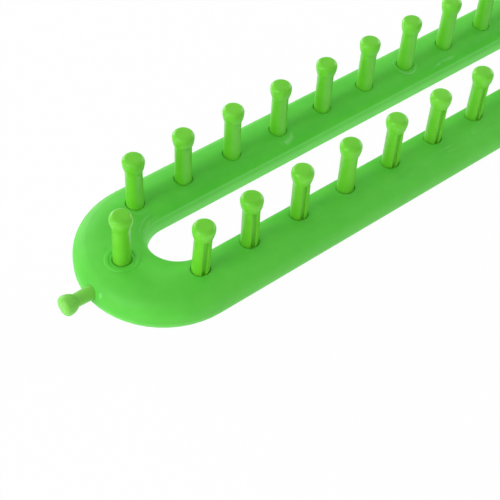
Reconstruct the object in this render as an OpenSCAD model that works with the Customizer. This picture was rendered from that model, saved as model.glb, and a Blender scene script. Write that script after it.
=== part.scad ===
// Long knitting loom.
// A long ring-shaped rail, moulded hollow from below, carries a row of grooved
// pegs along each side and one peg on each rounded end. A short anchor peg for
// the tail of the yarn stands out sideways from each end. Every peg is a
// moulding of its own, pressed into a boss under the rail.
// Sizes are in millimetres. +X runs along the loom and +Z is up. The origin is
// at the middle of the underside.

/* [Rows of pegs] */
// Number of pegs along each long side
pegs_per_side = 24; // [3:1:27]
// Distance from one peg of a row to the next
peg_pitch = 16.93; // [13:0.01:24]
// How far the rows stand inwards from the middle of the rails
row_inset = 1.7; // [0:0.05:2.5]
// How much closer the first and last peg of a row stand to their neighbours
row_end_inset = 0.8; // [0:0.05:1.5]
// How far the end pegs stand inwards from the middle of the rounded ends
end_peg_inset = 0.65; // [0:0.05:2.5]

/* [Frame] */
// Width of the long opening between the rails
slot_w = 16.5; // [10:0.1:24]
// Width of each rail
rail_w = 16.1; // [14:0.1:22]
// Width of the frame across each rounded end
end_w = 20.5; // [18:0.1:26]
// Height of the rails at their crown
rail_h = 7.9; // [6:0.1:11]
// Height of the upright skirt at the foot of the rails
skirt_h = 2.3; // [1.5:0.1:3.2]
// Rise of the crown above the rounded shoulders
crown_rise = 0.5; // [0.2:0.05:1.2]
// Thickness of the moulded walls
wall = 1.8; // [1.2:0.1:2.4]
// Thickness of the cross ribs in the hollow underside
rib_t = 1.2; // [0.8:0.1:2]
// Thickness of the bosses round the peg sockets
boss_wall = 1.2; // [0.8:0.1:1.6]
// How far the bosses and ribs stop above the surface that the loom lies on
boss_lift = 0.6; // [0.2:0.1:1.5]
// Outer diameter of the raised ring round each end peg
ring_d = 9.4; // [8.2:0.1:10.5]
// Width of that ring
ring_w = 1.2; // [0.8:0.1:1.4]
// Height of that ring above the crown
ring_rise = 0.2; // [0.05:0.05:0.35]

/* [Pegs] */
// Height of a peg above the crown of the rails
peg_h = 16.7; // [11:0.1:30]
// Diameter of a peg's head
head_d = 6.1; // [5.4:0.05:8]
// Diameter of a peg's shaft just under its head
neck_d = 4.7; // [4.1:0.05:4.85]
// Diameter of a peg's shaft at its foot
foot_d = 4.9; // [4.5:0.05:5.4]
// Diameter of the tail that is pressed into the frame
tail_d = 3.6; // [3:0.05:4]
// Height of a peg's head, from its underside to its flat top
head_h = 4.4; // [3.2:0.1:6]
// Radius of the rounded rim round the flat top of a head
head_round = 1.35; // [0.6:0.05:1.5]
// How far the underside of every head stands out from its shaft
head_ledge = 0.1; // [0.05:0.01:0.2]
// Width of the groove that guides the pick
groove_w = 1.5; // [1:0.1:2.2]
// Depth of that groove under the head
groove_depth = 0.8; // [0.4:0.05:1.1]
// How deep the foot of a peg is sunk below the crown
foot_sunk = 0.7; // [0.4:0.05:1.2]

/* [Anchor pegs] */
// How far an anchor peg stands out from the end of the frame
anchor_reach = 8.5; // [7:0.1:14]
// How far an anchor peg stands in front of the middle of the end
anchor_side = 1; // [0:0.1:3]
// Diameter of an anchor peg's head
anchor_head_d = 5.7; // [5:0.05:6.6]
// Diameter of an anchor peg's shaft just under its head
anchor_neck_d = 3.65; // [3.4:0.05:4.2]
// Diameter of an anchor peg's shaft at its foot
anchor_foot_d = 4; // [3.6:0.05:4.6]
// Diameter of the tail that is pressed into the frame
anchor_tail_d = 3; // [2.4:0.05:3.4]
// Length of the tail that is pressed into the frame
anchor_tail_l = 4.6; // [3:0.1:5.5]
// Height of its head, from its underside to its flat top
anchor_head_h = 4.1; // [3:0.1:5]
// Radius of the rounded rim round the flat top of its head
anchor_round = 1.4; // [0.6:0.05:1.5]
// How deep its foot is sunk into the end of the frame
anchor_sunk = 1.2; // [1.1:0.05:1.7]
// Gap between its head and the surface that the loom lies on
anchor_lift = 0.2; // [0.1:0.05:1]

/* [Fits] */
// Gap all round between a pressed tail and its socket
press_gap = 0.02; // [0.01:0.01:0.1]
// Gap all round between a peg's foot and the mouth of its socket
mouth_gap = 0.2; // [0.1:0.05:0.5]
// Width of the chamfer round the mouth of an upright socket
mouth_chamfer = 0.15; // [0.1:0.05:0.4]
// Gap all round between an anchor peg's foot and the frame
anchor_gap = 0.05; // [0.02:0.01:0.3]
// How far a peg's tail ends inside its boss
tail_recess = 0.4; // [0.1:0.1:1]

/* [Hidden] */
$fn = 72;
frame_green = [0.37, 0.78, 0.28];
peg_green = [0.42, 0.80, 0.22];

// How far a cutting shape reaches past the face it opens
cut = 1;
// Smallest radius that an inner corner is given
least_r = 0.2;

// Rail section: the shoulders meet the skirts and the crown without a corner
half_w = rail_w / 2;
shoulder_r = min(rail_h - skirt_h - crown_rise, half_w - cut);
shoulder_y = half_w - shoulder_r;
dome_h = rail_h - skirt_h;
crown_r = (pow(shoulder_y, 2) + pow(dome_h, 2) - pow(shoulder_r, 2)) / (2 * (dome_h - shoulder_r));
crown_z = rail_h - crown_r;
// Angle above level at which shoulder and crown meet
meet_a = atan2(skirt_h - crown_z, shoulder_y);

// Plan of the frame
straight_l = (pegs_per_side - 1) * peg_pitch;
outer_r = slot_w / 2 + rail_w;
rail_mid = slot_w / 2 + half_w;
end_x = straight_l / 2 + outer_r;
slot_end_x = end_x - end_w;
slot_straight_l = 2 * slot_end_x - slot_w;

// Places of the pegs
row_y = rail_mid - row_inset;
end_peg_x = end_x - end_w / 2 - end_peg_inset;
anchor_z = anchor_head_d / 2 + anchor_lift;

// Sockets
boss_d = tail_d + 2 * boss_wall;
anchor_boss_d = anchor_tail_d + 2 * boss_wall;
seat_z = rail_h - foot_sunk;
tail_l = seat_z - boss_lift - tail_recess;
anchor_hole_l = anchor_sunk + anchor_tail_l + tail_recess;

function numbered(name, i) = str(name, i < 10 ? "_0" : "_", i);
function nudge(i) = i == 1 ? row_end_inset : i == pegs_per_side ? -row_end_inset : 0;
function peg_x(i) = (i - 1) * peg_pitch - straight_l / 2 + nudge(i);

// Section of a rail, drawn smaller by inset at the sides and the top, and carried
// down past the underside by below.
module rail_section(inset, below) {
    arc_r = max(shoulder_r - inset, least_r);
    top_r = crown_r - inset;
    reach = 2 * rail_h;
    side = half_w - inset;
    translate([-side, -below])
        square([2 * side, skirt_h + below]);
    for (s = [-1, 1])
        intersection() {
            translate([s * shoulder_y, skirt_h])
                circle(arc_r);
            translate([-half_w, skirt_h])
                square([rail_w, rail_h]);
        }
    polygon([
        [-shoulder_y, skirt_h],
        [shoulder_y, skirt_h],
        [top_r * cos(meet_a), crown_z + top_r * sin(meet_a)],
        [-top_r * cos(meet_a), crown_z + top_r * sin(meet_a)]
    ]);
    intersection() {
        translate([0, crown_z])
            circle(top_r);
        polygon([
            [0, crown_z],
            [2 * top_r * cos(meet_a), crown_z + 2 * top_r * sin(meet_a)],
            [-2 * top_r * cos(meet_a), crown_z + 2 * top_r * sin(meet_a)]
        ]);
        translate([-half_w, skirt_h])
            square([rail_w, reach]);
    }
}

// Half section of the frame's outer body, from its middle to its outer edge
module body_half(inset, below) {
    translate([0, -below])
        square([rail_mid, rail_h - inset + below]);
    intersection() {
        translate([rail_mid, 0])
            rail_section(inset, below);
        translate([rail_mid, -below])
            square([half_w, rail_h + below]);
    }
}

// Half section of what the slot and its rounded lips take away
module slot_half(inset) {
    difference() {
        translate([0, -2 * cut])
            square([rail_mid, rail_h + 3 * cut]);
        translate([rail_mid, 0])
            rail_section(inset, 3 * cut);
    }
}

// A half section swept along a straight run and round both of its ends
module sweep_round(run) {
    rotate([90, 0, 90])
        linear_extrude(run, center = true)
            for (s = [0, 1])
                mirror([s, 0])
                    children();
    for (s = [0, 1])
        mirror([s, 0, 0])
            translate([run / 2, 0, 0])
                rotate([0, 0, -90])
                    rotate_extrude(angle = 180)
                        children();
}

// The frame's outer form, or with an inset the hollow inside its walls
module frame_form(inset, below) {
    difference() {
        sweep_round(straight_l)
            body_half(inset, below);
        sweep_round(slot_straight_l)
            slot_half(inset);
    }
}

// Places its children at every upright peg
module at_pegs() {
    for (i = [1 : pegs_per_side])
        for (s = [-1, 1])
            translate([peg_x(i), s * row_y, 0])
                children();
    for (s = [-1, 1])
        translate([s * end_peg_x, 0, 0])
            children();
}

// Places its children where one end's anchor peg stands, +Z pointing out along X
module at_anchor(side) {
    translate([side * end_x, -anchor_side, anchor_z])
        rotate([0, side * 90, 0])
            children();
}

// Bosses round the sockets, with a rib across the rail through each of them
module bosses() {
    at_pegs()
        translate([0, 0, boss_lift])
            cylinder(d = boss_d, h = rail_h);
    for (i = [1 : pegs_per_side])
        for (s = [-1, 1])
            translate([peg_x(i) - rib_t / 2, s * rail_mid - half_w, boss_lift])
                cube([rib_t, rail_w, rail_h]);
    for (s = [-1, 1])
        translate([s * (end_x - end_w / 2) - end_w / 2, -rib_t / 2, boss_lift])
            cube([end_w, rib_t, rail_h]);
    for (s = [-1, 1])
        at_anchor(s)
            translate([0, 0, -anchor_hole_l - boss_wall])
                cylinder(d = anchor_boss_d, h = anchor_hole_l);
}

// Each socket takes the tail of its peg, and its wider mouth takes the foot
module sockets() {
    mouth_d = foot_d + 2 * mouth_gap;
    at_pegs() {
        translate([0, 0, -cut])
            cylinder(d = tail_d + 2 * press_gap, h = rail_h + 2 * cut);
        translate([0, 0, seat_z])
            cylinder(d = mouth_d, h = rail_h);
        translate([0, 0, rail_h - mouth_chamfer])
            cylinder(d1 = mouth_d, d2 = mouth_d + 2 * cut, h = cut);
    }
    for (s = [-1, 1])
        at_anchor(s) {
            translate([0, 0, -anchor_hole_l])
                cylinder(d = anchor_tail_d + 2 * press_gap, h = anchor_hole_l + cut);
            translate([0, 0, -anchor_sunk])
                cylinder(d = anchor_foot_d + 2 * anchor_gap, h = anchor_sunk + cut);
        }
}

// A low ring round each end peg, its edges chamfered
module end_rings() {
    outer = ring_d / 2;
    inner = outer - ring_w;
    for (s = [-1, 1])
        translate([s * end_peg_x, 0, rail_h])
            rotate_extrude()
                polygon([
                    [inner, -wall / 2], [outer, -wall / 2], [outer, 0], [outer - ring_rise, ring_rise],
                    [inner + ring_rise, ring_rise], [inner, 0]
                ]);
}

module frame() {
    color(frame_green)
        difference() {
            union() {
                frame_form(0, 0);
                end_rings();
            }
            difference() {
                frame_form(wall, cut);
                bosses();
            }
            sockets();
        }
}

// Half section of a peg that stands up from z = 0: its tail and foot below,
// its tapering shaft, and a head that is round below and above its widest place.
module peg_half(reach, head, neck, foot, tail, length, button, round_r, sunk) {
    rim_y = head / 2 - round_r;
    rim_z = reach - round_r;
    neck_z = reach - button;
    // The belly is an arc from the ledge under the head to its widest place
    drop = (head - neck) / 2 - head_ledge;
    rise = rim_z - neck_z;
    belly_r = (pow(rise, 2) + pow(drop, 2)) / (2 * drop);
    translate([0, -sunk - length])
        square([tail / 2, length]);
    polygon([[0, -sunk], [foot / 2, -sunk], [neck / 2, neck_z], [0, neck_z]]);
    intersection() {
        translate([head / 2 - belly_r, rim_z])
            circle(belly_r);
        translate([0, neck_z])
            square([head, rise]);
    }
    translate([0, rim_z])
        square([rim_y, round_r]);
    intersection() {
        translate([rim_y, rim_z])
            circle(round_r);
        translate([rim_y, rim_z])
            square(2 * round_r);
    }
}

// An upright peg at the crown, its groove facing -Y
module grooved_peg() {
    groove_top = peg_h - head_h;
    groove_foot = -foot_sunk - tail_recess;
    color(peg_green)
        translate([0, 0, rail_h])
            difference() {
                rotate_extrude()
                    peg_half(
                        peg_h, head_d, neck_d, foot_d, tail_d,
                        tail_l, head_h, head_round, foot_sunk
                    );
                translate([-groove_w / 2, groove_depth - neck_d / 2 - foot_d, groove_foot])
                    cube([groove_w, foot_d, groove_top - groove_foot]);
            }
}

module front_peg(i) {
    translate([peg_x(i), -row_y, 0])
        grooved_peg();
}

module back_peg(i) {
    translate([peg_x(i), row_y, 0])
        rotate([0, 0, 180])
            grooved_peg();
}

// The groove of an end peg faces the slot
module end_peg(side) {
    translate([side * end_peg_x, 0, 0])
        rotate([0, 0, -side * 90])
            grooved_peg();
}

module anchor_peg(side) {
    color(peg_green)
        at_anchor(side)
            rotate_extrude()
                peg_half(
                    anchor_reach, anchor_head_d, anchor_neck_d, anchor_foot_d, anchor_tail_d,
                    anchor_tail_l, anchor_head_h, anchor_round, anchor_sunk
                );
}

frame();
for (i = [1 : pegs_per_side]) {
    front_peg(i);
    back_peg(i);
}
end_peg(-1);  // left_end_peg
end_peg(1);  // right_end_peg
anchor_peg(-1);  // left_anchor_peg
anchor_peg(1);  // right_anchor_peg
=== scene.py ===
# %% [markdown]
# A long knitting loom in green plastic
#
# This lesson dresses a long knitting loom. The measured model already holds one
# hollow frame and fifty-two pegs, each in its own place. Here the frame keeps
# its shape and gets a finish, and every peg is turned again with softer edges.
# Lengths in the code are in millimetres until they are placed in the scene,
# which is in metres, and the sizes of noise are counts per metre.

# %% Load the measured model
import math

import bmesh
import bpy
from mathutils import Matrix, Vector


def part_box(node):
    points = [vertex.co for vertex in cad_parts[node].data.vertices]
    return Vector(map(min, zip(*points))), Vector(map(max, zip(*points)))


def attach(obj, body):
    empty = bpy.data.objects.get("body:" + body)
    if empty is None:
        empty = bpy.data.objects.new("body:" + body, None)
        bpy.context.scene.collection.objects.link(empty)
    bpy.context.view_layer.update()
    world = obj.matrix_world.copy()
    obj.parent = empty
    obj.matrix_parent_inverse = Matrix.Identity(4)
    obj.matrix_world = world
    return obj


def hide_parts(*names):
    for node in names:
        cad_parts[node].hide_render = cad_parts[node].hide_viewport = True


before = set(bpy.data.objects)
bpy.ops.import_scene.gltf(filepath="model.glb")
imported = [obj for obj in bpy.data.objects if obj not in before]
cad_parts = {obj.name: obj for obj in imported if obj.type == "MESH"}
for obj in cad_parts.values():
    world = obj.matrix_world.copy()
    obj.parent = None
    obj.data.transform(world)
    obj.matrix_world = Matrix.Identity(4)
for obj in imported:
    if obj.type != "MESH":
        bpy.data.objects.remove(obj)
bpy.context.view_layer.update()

MM = 0.001
scene = bpy.context.scene
scene.view_settings.view_transform = "Standard"
print("nodes loaded:", len(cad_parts))

# %% [markdown]
# The camera
#
# A picture of a straight row of equal pegs tells where it was taken from: the
# rows meet at a vanishing point, and the pegs shrink with distance. The place
# below comes from such a fit. A camera could also be aimed by eye, but then the
# rows would not line up. It looks down at about 48 degrees, and is rolled a
# little.

# %% Camera
eye = Vector((-312.7, -168.05, 231.5)) * MM
look_azimuth = math.radians(48.59)
look_down = math.radians(48.03)
camera_roll = math.radians(3.66)
focal_length = 83.0
sensor_width = 36.0
nearest_seen = 10.0


def direction(azimuth, elevation):
    """The unit vector that points that way."""
    level = math.cos(elevation)
    return Vector((math.cos(azimuth) * level, math.sin(azimuth) * level, math.sin(elevation)))


forward = direction(look_azimuth, -look_down)
camera = bpy.data.objects.new("camera", bpy.data.cameras.new("camera"))
camera.data.lens = focal_length
camera.data.sensor_width = sensor_width
camera.data.clip_start = nearest_seen * MM
aim = forward.to_track_quat("-Z", "Y").to_matrix().to_4x4()
camera.matrix_world = Matrix.Translation(eye) @ aim @ Matrix.Rotation(camera_roll, 4, "Z")
scene.collection.objects.link(camera)
scene.camera = camera
print("camera looks along", [round(x, 3) for x in forward])

# %% [markdown]
# The white table
#
# Small goods are often shown on a white sheet that is lit a little from below,
# which is what makes the foot of the frame so pale. More lamps on a plain floor
# would whiten it too, but they would wash out the green. So the floor is an
# ordinary white surface with a weak light of its own, and the camera and the
# reflections see mostly a plain white glow, with a little of the real floor mixed
# in so that the shadow stays.

# %% Sheet of the table
floor_white = 0.86
floor_glow_share = 0.97
table_light = 0.50


def seen_directly(tree):
    """A value of 1 for rays that show the floor itself, and 0 for the light that it gives."""
    path = tree.nodes.new("ShaderNodeLightPath")
    seen = path.outputs["Is Camera Ray"]
    for kind in ("Is Glossy Ray", "Is Transmission Ray"):
        either = tree.nodes.new("ShaderNodeMath")
        either.operation = "MAXIMUM"
        tree.links.new(seen, either.inputs[0])
        tree.links.new(path.outputs[kind], either.inputs[1])
        seen = either.outputs[0]
    return seen


def white_table():
    """The material of the floor."""
    material = bpy.data.materials.new("white_table")
    material.use_nodes = True
    tree = material.node_tree
    tree.nodes.clear()
    sheet = tree.nodes.new("ShaderNodeBsdfDiffuse")
    sheet.inputs["Color"].default_value = (floor_white, floor_white, floor_white, 1)
    backlight = tree.nodes.new("ShaderNodeEmission")
    backlight.inputs["Strength"].default_value = table_light
    lit_sheet = tree.nodes.new("ShaderNodeAddShader")
    tree.links.new(sheet.outputs[0], lit_sheet.inputs[0])
    tree.links.new(backlight.outputs[0], lit_sheet.inputs[1])
    white_glow = tree.nodes.new("ShaderNodeEmission")
    seen_sheet = tree.nodes.new("ShaderNodeMixShader")
    seen_sheet.inputs["Fac"].default_value = floor_glow_share
    tree.links.new(sheet.outputs[0], seen_sheet.inputs[1])
    tree.links.new(white_glow.outputs[0], seen_sheet.inputs[2])
    mix = tree.nodes.new("ShaderNodeMixShader")
    tree.links.new(seen_directly(tree), mix.inputs["Fac"])
    tree.links.new(lit_sheet.outputs[0], mix.inputs[1])
    tree.links.new(seen_sheet.outputs[0], mix.inputs[2])
    out = tree.nodes.new("ShaderNodeOutputMaterial")
    tree.links.new(mix.outputs[0], out.inputs["Surface"])
    return material


table_sheet = white_table()
print("table sheet has", len(table_sheet.node_tree.nodes), "nodes")

# %% Floor
floor_half = 6000.0

bm = bmesh.new()
bmesh.ops.create_grid(bm, x_segments=1, y_segments=1, size=floor_half * MM)
floor_mesh = bpy.data.meshes.new("table")
bm.to_mesh(floor_mesh)
bm.free()
floor_mesh.materials.append(table_sheet)
floor = bpy.data.objects.new("table", floor_mesh)
scene.collection.objects.link(floor)
print("white table", 2 * floor_half * MM, "m wide")

# %% [markdown]
# The room
#
# The room round the table has a pale ceiling and walls that are nearly dark, so
# the lamps alone shape the sides of the loom. An even grey room would be simpler,
# but it would fill the shade between the pegs. The step from wall to ceiling is
# smooth, so that it leaves no line on the glossy heads.

# %% Surroundings
horizon_level = 0.06
overhead_level = 0.59
horizon_top = 0.10
overhead_from = 0.55

world = bpy.data.worlds.new("room")
world.use_nodes = True
scene.world = world
room = world.node_tree
room.nodes["Background"].inputs["Color"].default_value = (1, 1, 1, 1)
towards = room.nodes.new("ShaderNodeTexCoord")
height = room.nodes.new("ShaderNodeSeparateXYZ")
room.links.new(towards.outputs["Generated"], height.inputs[0])
level = room.nodes.new("ShaderNodeMapRange")
level.interpolation_type = "SMOOTHSTEP"
level.inputs["From Min"].default_value = horizon_top
level.inputs["From Max"].default_value = overhead_from
level.inputs["To Min"].default_value = horizon_level
level.inputs["To Max"].default_value = overhead_level
room.links.new(height.outputs["Z"], level.inputs["Value"])
room.links.new(level.outputs["Result"], room.nodes["Background"].inputs["Strength"])
print("room level", horizon_level, "to", overhead_level)

# %% [markdown]
# The lamps
#
# The loom was lit by low, broad lights: the rounded end and the outer sides are
# bright, and the crowns of the rails, which look straight up, are the darkest
# part. One light stands beyond the near end, so each peg throws a soft shadow away
# from it, two more stand behind and at the far end, and a weak one in front lifts
# the side of the slot that looks that way. One light overhead would be simpler,
# but it would turn this the other way round.

# %% Lamps
lamp_distance = 1000.0
lamp_size = 600.0
near_half = Vector((-100, 0, 0)) * MM
lamps = {
    # Name: azimuth and elevation in degrees, watts
    "key": (178, 24, 5.1),
    "back": (96, 11, 5.4),
    "far": (6, 15, 4.7),
    "front": (232, 36, 0.6),
}


def soft_lamp(name, azimuth, elevation, watts):
    """A square area lamp that looks at the near half of the loom."""
    data = bpy.data.lights.new(name, "AREA")
    data.size = lamp_size * MM
    data.energy = watts
    lamp = bpy.data.objects.new(name, data)
    towards = direction(math.radians(azimuth), math.radians(elevation))
    lamp.location = near_half + lamp_distance * MM * towards
    lamp.rotation_euler = (-towards).to_track_quat("-Z", "Y").to_euler()
    scene.collection.objects.link(lamp)


for name, (azimuth, elevation, watts) in lamps.items():
    soft_lamp(name, azimuth, elevation, watts)
print("lamps:", ", ".join(lamps))

# %% [markdown]
# Bricks for the effects
#
# The marks on the plastic are masks, built from a few kinds of node again and
# again. Nodes could be added and linked one by one, but a long list of links hides
# the idea. So each kind of node gets a small function that takes plain numbers or
# sockets and gives back a socket. First come the groups themselves, and the noise
# and the smooth steps that most masks start from.

# %% Groups, noise and steps


def feed(group, socket, value):
    """Gives a socket a plain value, or links another socket to it."""
    if isinstance(value, (int, float, tuple)):
        socket.default_value = value
    else:
        group.links.new(value, socket)


def new_group(name, output, values, vectors=()):
    """An empty shader group with one output, value inputs with a start value, and vector inputs."""
    group = bpy.data.node_groups.new(name, "ShaderNodeTree")
    for label in ("Vector", *vectors):
        group.interface.new_socket(label, in_out="INPUT", socket_type="NodeSocketVector")
    for label, value in values.items():
        socket = group.interface.new_socket(label, in_out="INPUT", socket_type="NodeSocketFloat")
        socket.default_value = value
    group.interface.new_socket(output, in_out="OUTPUT", socket_type="NodeSocketFloat")
    return group, group.nodes.new("NodeGroupInput"), group.nodes.new("NodeGroupOutput")


def noise(group, vector, scale, detail):
    """A noise texture."""
    node = group.nodes.new("ShaderNodeTexNoise")
    node.inputs["Detail"].default_value = detail
    feed(group, node.inputs["Vector"], vector)
    feed(group, node.inputs["Scale"], scale)
    return node.outputs["Fac"]


def band(group, value, low, high):
    """A smooth step that is 0 at low and 1 at high."""
    node = group.nodes.new("ShaderNodeMapRange")
    node.interpolation_type = "SMOOTHSTEP"
    node.inputs["From Min"].default_value = low
    node.inputs["From Max"].default_value = high
    feed(group, node.inputs["Value"], value)
    return node.outputs["Result"]


def fade(group, value, full):
    """A smooth step down that is 1 up to full and 0 from 1 on."""
    return band(group, value, low=1.0, high=full)


textures = (noise, band, fade)
print("helpers for textures:", ", ".join(helper.__name__ for helper in textures))

# %% [markdown]
# Sums and distances
#
# A mark knows where it is by its distance to a place, and two masks meet in a sum,
# a product or the larger of both. A formula could be typed into one script node,
# but such a node works in only one of Blender's renderers. So the sums are plain
# math nodes, one for each step.

# %% Sums and distances


def combine(group, operation, first, second):
    """One math node."""
    node = group.nodes.new("ShaderNodeMath")
    node.operation = operation
    feed(group, node.inputs[0], first)
    feed(group, node.inputs[1], second)
    return node.outputs[0]


def magnitude(group, value):
    """A value without its sign."""
    return combine(group, "ABSOLUTE", value, 0)


def blended(group, first, second, share):
    """Two values added, the second with that share."""
    rest = combine(group, "MULTIPLY", first, 1 - share)
    return combine(group, "ADD", rest, combine(group, "MULTIPLY", second, share))


def vector_math(group, operation, first, second):
    """One vector math node."""
    node = group.nodes.new("ShaderNodeVectorMath")
    node.operation = operation
    feed(group, node.inputs[0], first)
    feed(group, node.inputs[1], second)
    return node.outputs["Vector"]


def span(group, vector):
    """The length of a vector."""
    node = group.nodes.new("ShaderNodeVectorMath")
    node.operation = "LENGTH"
    feed(group, node.inputs[0], vector)
    return node.outputs["Value"]


sums = (combine, magnitude, blended, vector_math, span)
print("helpers for sums:", ", ".join(helper.__name__ for helper in sums))

# %% [markdown]
# Effects all over the skin
#
# Moulded plastic is never one flat colour. The tint drifts slowly where the melt
# cooled at different speeds, the skin has a fine grain from the mould, and use
# leaves pale scuffs. Each effect is a node group, built once and placed in the
# materials with its own sizes. A painted picture could hold the same marks, but
# it would have to be wrapped round every peg.

# %% Tint, grain and scuffs


def cloud_tint_group():
    """Slow clouds with a finer mottle: where the melt cooled lighter or darker."""
    group, start, end = new_group("cloud_tint", "Mask", {"Clouds": 24.0, "Mottle": 210.0})
    clouds = noise(group, start.outputs["Vector"], start.outputs["Clouds"], detail=3)
    mottle = noise(group, start.outputs["Vector"], start.outputs["Mottle"], detail=2)
    both = blended(group, clouds, mottle, share=0.35)
    group.links.new(band(group, both, low=0.32, high=0.68), end.inputs["Mask"])
    return group


def skin_grain_group():
    """The fine grain that the mould's face leaves, over a slow unevenness."""
    group, start, end = new_group("skin_grain", "Height", {"Grain": 4500.0, "Waves": 260.0})
    grain = noise(group, start.outputs["Vector"], start.outputs["Grain"], detail=2)
    waves = noise(group, start.outputs["Vector"], start.outputs["Waves"], detail=1)
    group.links.new(blended(group, grain, waves, share=0.75), end.inputs["Height"])
    return group


def scuff_group():
    """Short pale scratches along the loom, gathered in a few places."""
    group, start, end = new_group("scuffs", "Mask", {"Places": 45.0, "Lines": 1300.0})
    places = noise(group, start.outputs["Vector"], start.outputs["Places"], detail=2)
    drawn_out = group.nodes.new("ShaderNodeMapping")
    drawn_out.inputs["Scale"].default_value = (0.2, 1, 0.6)
    group.links.new(start.outputs["Vector"], drawn_out.inputs["Vector"])
    lines = noise(group, drawn_out.outputs["Vector"], start.outputs["Lines"], detail=1)
    near_place = band(group, places, low=0.62, high=0.76)
    on_line = band(group, lines, low=0.64, high=0.74)
    group.links.new(combine(group, "MULTIPLY", near_place, on_line), end.inputs["Mask"])
    return group


effects = {"tint": cloud_tint_group(), "grain": skin_grain_group(), "scuffs": scuff_group()}
print("effects all over:", ", ".join(effects))

# %% [markdown]
# Rubbed patches
#
# Where the loom is touched again and again, its skin turns pale in a small patch. A
# brush could paint it on a picture. Here it is a spot that fades with the distance
# from its centre, counted in how far it reaches along each axis, and noise breaks
# it up, so that its edge is never a clean oval. The same pale spot also paints
# light, where a piece is painted paler for the light that falls on it.

# %% Rubbed patches


def pale_spot_group():
    """One pale patch round a centre, broken up by noise, for rubbed places and for painted light."""
    group, start, end = new_group("pale_spot_mark", "Mask", {"Breaks": 800.0}, ["Centre", "Reach"])
    offset = vector_math(group, "SUBTRACT", start.outputs["Vector"], start.outputs["Centre"])
    away = span(group, vector_math(group, "DIVIDE", offset, start.outputs["Reach"]))
    spot = fade(group, away, full=0.25)
    coarse = noise(group, start.outputs["Vector"], start.outputs["Breaks"], detail=2)
    breaks = band(group, coarse, low=0.34, high=0.62)
    group.links.new(combine(group, "MULTIPLY", spot, breaks), end.inputs["Mask"])
    return group


effects["pale_spot"] = pale_spot_group()
print("nodes in a rubbed patch:", len(effects["pale_spot"].nodes))

# %% [markdown]
# Pieces of rings
#
# Round some sockets, and where the melt flowed together, the moulding shows a thin
# pale piece of a ring. It could be cut into the mesh, but it hardly stands out from
# the skin. So it is found from two distances: one to an upright axis, which has to
# be near the radius, and one to the middle of the piece, which ends it.

# %% Pieces of rings


def arc_mark_group():
    """A pale piece of a ring round an upright axis."""
    values = {"Radius": 4.0 * MM, "Width": 0.4 * MM, "Length": 4.0 * MM, "Breaks": 500.0}
    group, start, end = new_group("arc_mark", "Mask", values, ["Axis", "Middle"])
    offset = vector_math(group, "SUBTRACT", start.outputs["Vector"], start.outputs["Axis"])
    flat = vector_math(group, "MULTIPLY", offset, (1, 1, 0))
    off = combine(group, "SUBTRACT", span(group, flat), start.outputs["Radius"])
    ring = fade(group, combine(group, "DIVIDE", magnitude(group, off), start.outputs["Width"]), full=0.1)
    away = span(group, vector_math(group, "SUBTRACT", start.outputs["Vector"], start.outputs["Middle"]))
    part = fade(group, combine(group, "DIVIDE", away, start.outputs["Length"]), full=0.3)
    coarse = noise(group, start.outputs["Vector"], start.outputs["Breaks"], detail=1)
    breaks = band(group, coarse, low=0.25, high=0.55)
    found = combine(group, "MULTIPLY", combine(group, "MULTIPLY", ring, part), breaks)
    group.links.new(found, end.inputs["Mask"])
    return group


effects["arc"] = arc_mark_group()
print("nodes in a piece of a ring:", len(effects["arc"].nodes))

# %% [markdown]
# Level lines
#
# The two halves of a mould meet in a line that runs all round at one height, and
# in the slot such a line is drawn pale, as a painted highlight along its step. A
# band at the foot of a wall is painted paler, as painted bounce light from the
# table. A row of faces could take another material, but the measured frame is made
# of loose triangles in no such rows. So the line is found from the height of a
# point, and its distance along and across from the middle of the loom tells whether
# it lies in the slot or outside.

# %% Level lines
# How far the slot and its lips reach from the middle of the loom
slot_reach_x = 200.0
slot_reach_y = 13.0


def level_line_group():
    """A soft line at one height, in the slot where Side is 1 and round the outside where it is 0."""
    values = {"Height": 3.0 * MM, "Width": 0.5 * MM, "Side": 1.0}
    group, start, end = new_group("level_line", "Mask", values)
    split = group.nodes.new("ShaderNodeSeparateXYZ")
    group.links.new(start.outputs["Vector"], split.inputs[0])
    off = magnitude(group, combine(group, "SUBTRACT", split.outputs["Z"], start.outputs["Height"]))
    line = fade(group, combine(group, "DIVIDE", off, start.outputs["Width"]), full=0.1)
    inside_x = combine(group, "LESS_THAN", magnitude(group, split.outputs["X"]), slot_reach_x * MM)
    inside_y = combine(group, "LESS_THAN", magnitude(group, split.outputs["Y"]), slot_reach_y * MM)
    inside = combine(group, "MULTIPLY", inside_x, inside_y)
    other_side = magnitude(group, combine(group, "SUBTRACT", inside, start.outputs["Side"]))
    same_side = combine(group, "SUBTRACT", 1, other_side)
    group.links.new(combine(group, "MULTIPLY", line, same_side), end.inputs["Mask"])
    return group


effects["line"] = level_line_group()
print("effects in all:", ", ".join(effects))

# %% [markdown]
# Effects in a material
#
# A material places an effect by a group node that reads the coordinates of the
# object, and mixes its colours by the mask that comes out. A UV map could be read
# instead, but it would have to be unwrapped for each piece. All the pieces share
# one frame, so a mark lies where its place says.

# %% Effects and colours
# A colour mix has several sockets of one name, so its colours and its result are counted
mix_first = 6
mix_second = 7
mix_result = 2


def place_effect(tree, name, **values):
    """A group node for one shared effect, reading object coordinates."""
    node = tree.nodes.new("ShaderNodeGroup")
    node.node_tree = effects[name]
    where = tree.nodes.new("ShaderNodeTexCoord")
    tree.links.new(where.outputs["Object"], node.inputs["Vector"])
    for label, value in values.items():
        node.inputs[label].default_value = value
    return node.outputs[0]


def tinted(tree, amount, first, second):
    """A colour mix from a plain colour or a socket to a plain colour."""
    node = tree.nodes.new("ShaderNodeMix")
    node.data_type = "RGBA"
    tree.links.new(amount, node.inputs["Factor"])
    feed(tree, node.inputs[mix_first], first)
    feed(tree, node.inputs[mix_second], second)
    return node.outputs[mix_result]


print("a material can place", len(effects), "effects")
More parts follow.
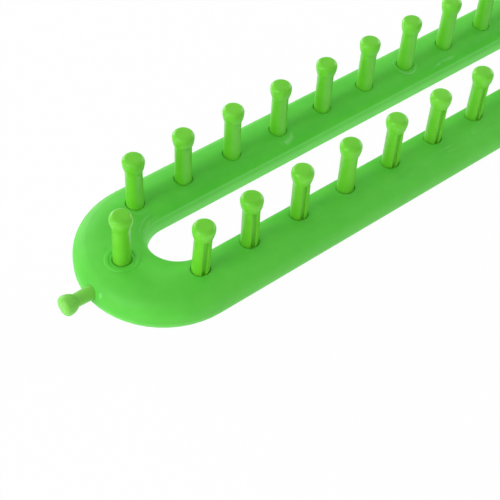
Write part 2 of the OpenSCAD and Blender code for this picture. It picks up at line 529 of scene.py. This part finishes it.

# %% [markdown]
# The recipe of the plastic
#
# Light goes a millimetre or two into such plastic before it comes out again, so the
# recipe has some subsurface scattering, which softens the shade between lit and
# unlit sides. Where the skin is worn, and where light is painted in as a pale mark,
# it is paler, duller and a little raised. Frame and pegs could each have their own
# set of nodes, but one recipe with different numbers keeps them of one family.

# %% Plastic recipe
scuff_strength = 0.3
middle_tint = 0.5
sheen_drift = 0.08
pale_mark_dullness = 0.3
plastic_ior = 1.49
plastic_gloss = 0.38
scatter_share = 0.25
scatter_colours = (0.6, 1.0, 0.4)
scatter_depth = 1.5


def green_plastic(name, deep, light, pale_wear_and_light, roughness, grain_depth, marks):
    """A moulded green plastic. Each mark is an effect, its values and its strength."""
    material = bpy.data.materials.new(name)
    material.use_nodes = True
    tree = material.node_tree
    shader = tree.nodes["Principled BSDF"]
    tint = place_effect(tree, "tint")
    # The pale mix holds the scuffs and the marks, painted light among them
    pale = combine(tree, "MULTIPLY", place_effect(tree, "scuffs"), scuff_strength)
    for effect, values, strength in marks:
        mark = combine(tree, "MULTIPLY", place_effect(tree, effect, **values), strength)
        pale = combine(tree, "MAXIMUM", pale, mark)
    tree.links.new(tinted(tree, pale, tinted(tree, tint, deep, light), pale_wear_and_light), shader.inputs["Base Color"])

    uneven = combine(tree, "MULTIPLY", combine(tree, "SUBTRACT", tint, middle_tint), sheen_drift)
    dull = combine(tree, "MULTIPLY", pale, pale_mark_dullness)
    rough = combine(tree, "ADD", combine(tree, "ADD", dull, uneven), roughness)
    tree.links.new(rough, shader.inputs["Roughness"])

    bump = tree.nodes.new("ShaderNodeBump")
    bump.inputs["Strength"].default_value = 1
    bump.inputs["Distance"].default_value = grain_depth * MM
    tree.links.new(combine(tree, "ADD", place_effect(tree, "grain"), pale), bump.inputs["Height"])
    tree.links.new(bump.outputs["Normal"], shader.inputs["Normal"])

    shader.inputs["IOR"].default_value = plastic_ior
    shader.inputs["Specular IOR Level"].default_value = plastic_gloss
    shader.inputs["Subsurface Weight"].default_value = scatter_share
    shader.inputs["Subsurface Radius"].default_value = scatter_colours
    shader.inputs["Subsurface Scale"].default_value = scatter_depth * MM
    return material


print("plastic bends light by", plastic_ior, "and scatters it", scatter_depth, "mm deep")

# %% [markdown]
# The marks on the frame
#
# The frame has two fine mould lines round the slot, drawn pale as painted
# highlights, painted bounce light at the foot of its walls, pieces of rings round
# some sockets, a pale patch at the near end of the slot and a rubbed place. All of
# this could be painted by hand, but a mark that is given by its place, its size and
# its strength is easy to move.

# %% Marks on the frame
in_slot = 1
outside = 0


def pale_spot(centre, reach, breaks=800.0):
    """The values of a rubbed patch, from millimetres."""
    return {"Centre": Vector(centre) * MM, "Reach": Vector(reach) * MM, "Breaks": breaks}


def arc_of(axis, middle, radius, width, length):
    """The values of a piece of a ring, from millimetres."""
    return {
        "Axis": Vector((*axis, 0)) * MM, "Middle": Vector(middle) * MM,
        "Radius": radius * MM, "Width": width * MM, "Length": length * MM,
    }


def line_at(height, width, side):
    """The values of a level line, from millimetres."""
    return {"Height": height * MM, "Width": width * MM, "Side": side}


frame_marks = [
    # Mould lines in the slot drawn pale as painted highlights, painted bounce light low on the slot's wall,
    # and painted bounce light on the foot of the outer skirt
    ("line", line_at(4.0, 0.6, in_slot), 0.36),
    ("line", line_at(2.1, 0.5, in_slot), 0.42),
    ("line", line_at(0.2, 4.7, in_slot), 0.44),
    ("line", line_at(0.1, 1.5, outside), 0.36),
    # A pale patch on the lip at the near end of the slot, and a rubbed place beside the anchor peg
    ("arc", arc_of((-190.3, 0), (-196.0, 6.8, 4.8), 8.9, 0.9, 7.5), 0.34),
    ("arc", arc_of((-190.3, 0), (-196.0, 8.5, 5.6), 10.2, 0.4, 5.5), 0.26),
    ("pale_spot", pale_spot((-218.1, -4.5, 4.5), (0.9, 0.9, 1.2)), 0.75),
    # Rings that the mould left round some sockets, and a flow line
    ("arc", arc_of((-144.4, 14.4), (-143.2, 10.3, 6.6), 4.3, 0.9, 3.6), 0.50),
    ("arc", arc_of((-93.1, 14.6), (-94.6, 12.2, 7.0), 3.6, 0.4, 7.5), 0.46),
    ("arc", arc_of((-193.9, 14.6), (-194.8, 11.0, 7.0), 3.7, 0.4, 4.0), 0.20),
    ("arc", arc_of((-143.9, -14.6), (-146.0, -17.4, 7.7), 3.6, 0.35, 4.5), 0.22),
    ("arc", arc_of((-79.9, -31.0), (-79.9, 9.9, 6.0), 40.9, 0.5, 6.0), 0.40),
]
print("marks on the frame:", len(frame_marks))

# %% [markdown]
# The two plastics
#
# The frame is a satin grass green. The pegs come from another batch, a little
# yellower and glossier. They could share one material, but then the heads would
# lose their sheen. The near anchor peg is painted paler all over, a painted
# highlight for the strong light that falls on it: breaks as coarse as the ones it
# is given leave its patch even.

# %% Frame plastic and peg plastic
even_breaks = 1.0

frame_plastic = green_plastic(
    "frame_plastic",
    deep=(0.086, 0.572, 0.036, 1),
    light=(0.115, 0.622, 0.051, 1),
    pale_wear_and_light=(0.32, 0.74, 0.26, 1),
    roughness=0.55,
    grain_depth=0.02,
    marks=frame_marks,
)
peg_plastic = green_plastic(
    "peg_plastic",
    deep=(0.131, 0.577, 0.020, 1),
    light=(0.170, 0.645, 0.036, 1),
    pale_wear_and_light=(0.34, 0.74, 0.20, 1),
    roughness=0.34,
    grain_depth=0.012,
    # The near anchor peg painted paler all over: painted light
    marks=[("pale_spot", pale_spot((-225, -1, 3), (10, 7, 7), even_breaks), 0.6)],
)
print("nodes in the frame plastic:", len(frame_plastic.node_tree.nodes))
print("nodes in the peg plastic:", len(peg_plastic.node_tree.nodes))

# %% [markdown]
# The frame
#
# The frame is one long moulding with a domed top, hollow from below. It could be
# swept again from its cross section, but its measured shape is right and has every
# socket in place, so it stays and only takes the satin plastic.

# %% Frame
loom_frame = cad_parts["frame"]
loom_frame.data.materials.clear()
loom_frame.data.materials.append(frame_plastic)
print("frame has", len(loom_frame.data.polygons), "faces")

# %% [markdown]
# The outline of a peg
#
# A peg is a turned form: a tail that is pressed into the frame, a shaft that
# tapers a little, and a head like a soft button that stands out over the shaft
# with a small ledge. It could be stacked from cylinders, but half an outline, made
# of straight stretches and two arcs, keeps the head in one smooth skin.

# %% Peg outline
head_r = 6.1 / 2
neck_r = 4.7 / 2
foot_r = 4.9 / 2
tail_r = 3.6 / 2
peg_h = 16.7
head_h = 4.4
head_round = 1.35
head_ledge = 0.1
foot_sunk = 0.7
foot_band = 0.15
rim_steps = 8
belly_steps = 6


def arc(middle, radius, start, stop, steps):
    """Points of an arc in a half outline, without its last one."""
    turns = [start + (stop - start) * k / steps for k in range(steps)]
    return [(middle[0] + radius * math.cos(a), middle[1] + radius * math.sin(a)) for a in turns]


def peg_outline(reach, head, neck, foot, tail, button, rounding, sunk, tail_end):
    """Half outline of a peg as (radius, height) points, from the middle of its top to the end of its tail."""
    rim_r = head - rounding
    rim_z = reach - rounding
    neck_z = reach - button
    # The belly runs from the widest place of the head down to the ledge over the shaft
    drop = head - neck - head_ledge
    rise = rim_z - neck_z
    belly_r = (rise**2 + drop**2) / (2 * drop)
    points = [(0, reach)]
    points += arc((rim_r, rim_z), rounding, math.pi / 2, 0, rim_steps)
    points += arc((head - belly_r, rim_z), belly_r, 0, -math.asin(rise / belly_r), belly_steps)
    points += [(neck + head_ledge, neck_z), (neck, neck_z)]
    points += [(foot, foot_band - sunk), (foot, -sunk), (tail, -sunk), (tail, tail_end), (0, tail_end)]
    return points


print("a peg stands", peg_h, "mm over the crown and its head is", 2 * head_r, "mm wide")

# %% [markdown]
# Turning the outline
#
# Half an outline becomes a peg by one full turn round its axis, as on a lathe. A
# Screw modifier could do that too, but the groove is cut into the result, so the
# turn is made on the mesh at once. The points on the axis then lie on top of each
# other, and are merged.

# %% Spin
spin_steps = 72
merge_reach = 0.001


def turned(points):
    """A closed form that is spun from a half outline."""
    bm = bmesh.new()
    corners = [bm.verts.new((r * MM, 0, z * MM)) for r, z in points]
    edges = [bm.edges.new(pair) for pair in zip(corners, corners[1:])]
    bmesh.ops.spin(
        bm, geom=corners + edges, cent=(0, 0, 0), axis=(0, 0, 1),
        angle=math.tau, steps=spin_steps, use_merge=True,
    )
    bmesh.ops.remove_doubles(bm, verts=bm.verts, dist=merge_reach * MM)
    bmesh.ops.recalc_face_normals(bm, faces=bm.faces)
    return bm


print("one turn has", spin_steps, "steps of", 360 / spin_steps, "degrees")

# %% [markdown]
# The groove
#
# A groove down one side of each upright peg guides the pick under the yarn. It
# could be cut out with a boolean, but pushing faces in keeps the mesh clean. Three
# steps of the spin to either side of +X span its width, so those faces of the
# shaft are pushed in and laid flat.

# %% Groove
groove_depth = 0.7
groove_half_angle = math.radians(15)
upright_limit = 0.2


def cut_groove(bm, low, high, floor_x):
    """Pushes the shaft's faces round +X, between two heights, in to a flat floor."""
    strip = []
    for face in bm.faces:
        middle = face.calc_center_median()
        in_width = abs(math.atan2(middle.y, middle.x)) < groove_half_angle
        in_height = low * MM < middle.z < high * MM
        if in_width and in_height and abs(face.normal.z) < upright_limit:
            strip.append(face)
    pushed = bmesh.ops.extrude_face_region(bm, geom=strip)["geom"]
    floor_verts = [v for v in pushed if isinstance(v, bmesh.types.BMVert)]
    flat = Matrix.Translation((-floor_x * MM, 0, 0))
    bmesh.ops.scale(bm, verts=floor_verts, vec=(0, 1, 1), space=flat)
    bmesh.ops.delete(bm, geom=[f for f in strip if f.is_valid], context="FACES")
    bmesh.ops.recalc_face_normals(bm, faces=bm.faces)


print("groove", groove_depth, "mm deep")

# %% [markdown]
# The edges
#
# A mould gives every sharp edge, the groove's and the ledge's too, a small
# rounding, and it is this that catches the light. A Bevel modifier could add it,
# but an operator on the mesh leaves nothing to work out later.

# %% Edges
edge_round = 0.07
edge_segments = 2
sharp_angle = math.radians(22)


def round_edges(bm):
    """Rounds every edge at which the surface turns sharply."""
    sharp = [e for e in bm.edges if e.is_manifold and e.calc_face_angle() > sharp_angle]
    bmesh.ops.bevel(
        bm, geom=sharp, offset=edge_round * MM, offset_type="OFFSET", affect="EDGES",
        segments=edge_segments, profile=0.5, material=-1, clamp_overlap=True,
    )


print("edges rounded by", edge_round, "mm")

# %% [markdown]
# Placing a peg
#
# A finished peg stands in for one node of the measured model, which is then hidden.
# The object could be moved to that place, but marks that read its coordinates would
# move along. So the place goes into the mesh, and the object stays at the origin.

# %% Placing


def place_piece(bm, node, where):
    """A finished peg that stands for one node of the measured model."""
    bmesh.ops.transform(bm, matrix=where, verts=bm.verts)
    mesh = bpy.data.meshes.new("turned_" + node)
    bm.to_mesh(mesh)
    bm.free()
    for face in mesh.polygons:
        face.use_smooth = True
    mesh.materials.append(peg_plastic)
    piece = bpy.data.objects.new("turned_" + node, mesh)
    scene.collection.objects.link(piece)
    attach(piece, "root")
    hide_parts(node)
    return piece


peg_nodes = [node for node in sorted(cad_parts) if node != "frame"]
print("pegs to place:", len(peg_nodes))

# %% [markdown]
# The upright pegs
#
# All the upright pegs are alike, so one recipe makes each of them where its node
# stands. Copies of one mesh would do if all were set alike, but pegs that are
# pressed in are never quite true. In the rows the groove faces outwards, and on the
# ends it faces the slot. The front row came out turned a little towards the near
# end, one peg of it is turned far, and two pegs lean. The lean is a shear of
# everything above the crown, so that the foot stays put.

# %% Upright pegs
facings = {"front": -106, "back": 90, "left": 0, "right": 180}
turned_far = {"front_peg_04": 60}
leaning = {
    # How far the top of the peg has moved, along and across the loom
    "front_peg_01": (0.42, -0.80),
    "left_end_peg": (0.15, -0.40),
}


def upright_peg(node):
    """A grooved peg where the node stands."""
    low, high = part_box(node)
    crown = high.z / MM - peg_h
    outline = peg_outline(
        reach=peg_h, head=head_r, neck=neck_r, foot=foot_r, tail=tail_r,
        button=head_h, rounding=head_round, sunk=foot_sunk, tail_end=low.z / MM - crown,
    )
    bm = turned(outline)
    cut_groove(bm, foot_band - foot_sunk, peg_h - head_h, neck_r - groove_depth)
    round_edges(bm)
    facing = facings[node.split("_")[0]] + turned_far.get(node, 0)
    bmesh.ops.rotate(bm, verts=bm.verts, matrix=Matrix.Rotation(math.radians(facing), 3, "Z"))
    if node in leaning:
        shear = Matrix.Shear("XY", 4, [along / peg_h for along in leaning[node]])
        bmesh.ops.transform(bm, matrix=shear, verts=[v for v in bm.verts if v.co.z > 0])
    middle = (low + high) / 2
    return place_piece(bm, node, Matrix.Translation((middle.x, middle.y, crown * MM)))


pegs = [upright_peg(node) for node in peg_nodes if "anchor" not in node]
print("upright pegs:", len(pegs), "faces each:", len(pegs[0].data.polygons))

# %% [markdown]
# The anchor pegs
#
# The peg that stands out of each end only holds the tail of the yarn, so it is
# short and has no groove. It could be an upright peg made smaller, but its head is
# nearly as big as theirs. So it is spun from its own sizes in the same way, and
# then tipped over.

# %% Anchor pegs
anchor_head_r = 5.7 / 2
anchor_neck_r = 3.65 / 2
anchor_foot_r = 4.0 / 2
anchor_tail_r = 3.0 / 2
anchor_reach = 8.5
anchor_head_h = 4.1
anchor_round = 1.4
anchor_sunk = 1.2


def anchor_peg(node, side):
    """A short peg that points along X, outwards on that side."""
    low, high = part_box(node)
    length = (high.x - low.x) / MM
    outline = peg_outline(
        reach=anchor_reach, head=anchor_head_r, neck=anchor_neck_r, foot=anchor_foot_r, tail=anchor_tail_r,
        button=anchor_head_h, rounding=anchor_round, sunk=anchor_sunk, tail_end=anchor_reach - length,
    )
    bm = turned(outline)
    round_edges(bm)
    tip = high.x if side > 0 else low.x
    middle = (low + high) / 2
    where = Matrix.Translation((tip - side * anchor_reach * MM, middle.y, middle.z))
    return place_piece(bm, node, where @ Matrix.Rotation(side * math.pi / 2, 4, "Y"))


anchors = [anchor_peg("left_anchor_peg", -1), anchor_peg("right_anchor_peg", 1)]
print("anchor pegs:", [a.name for a in anchors])
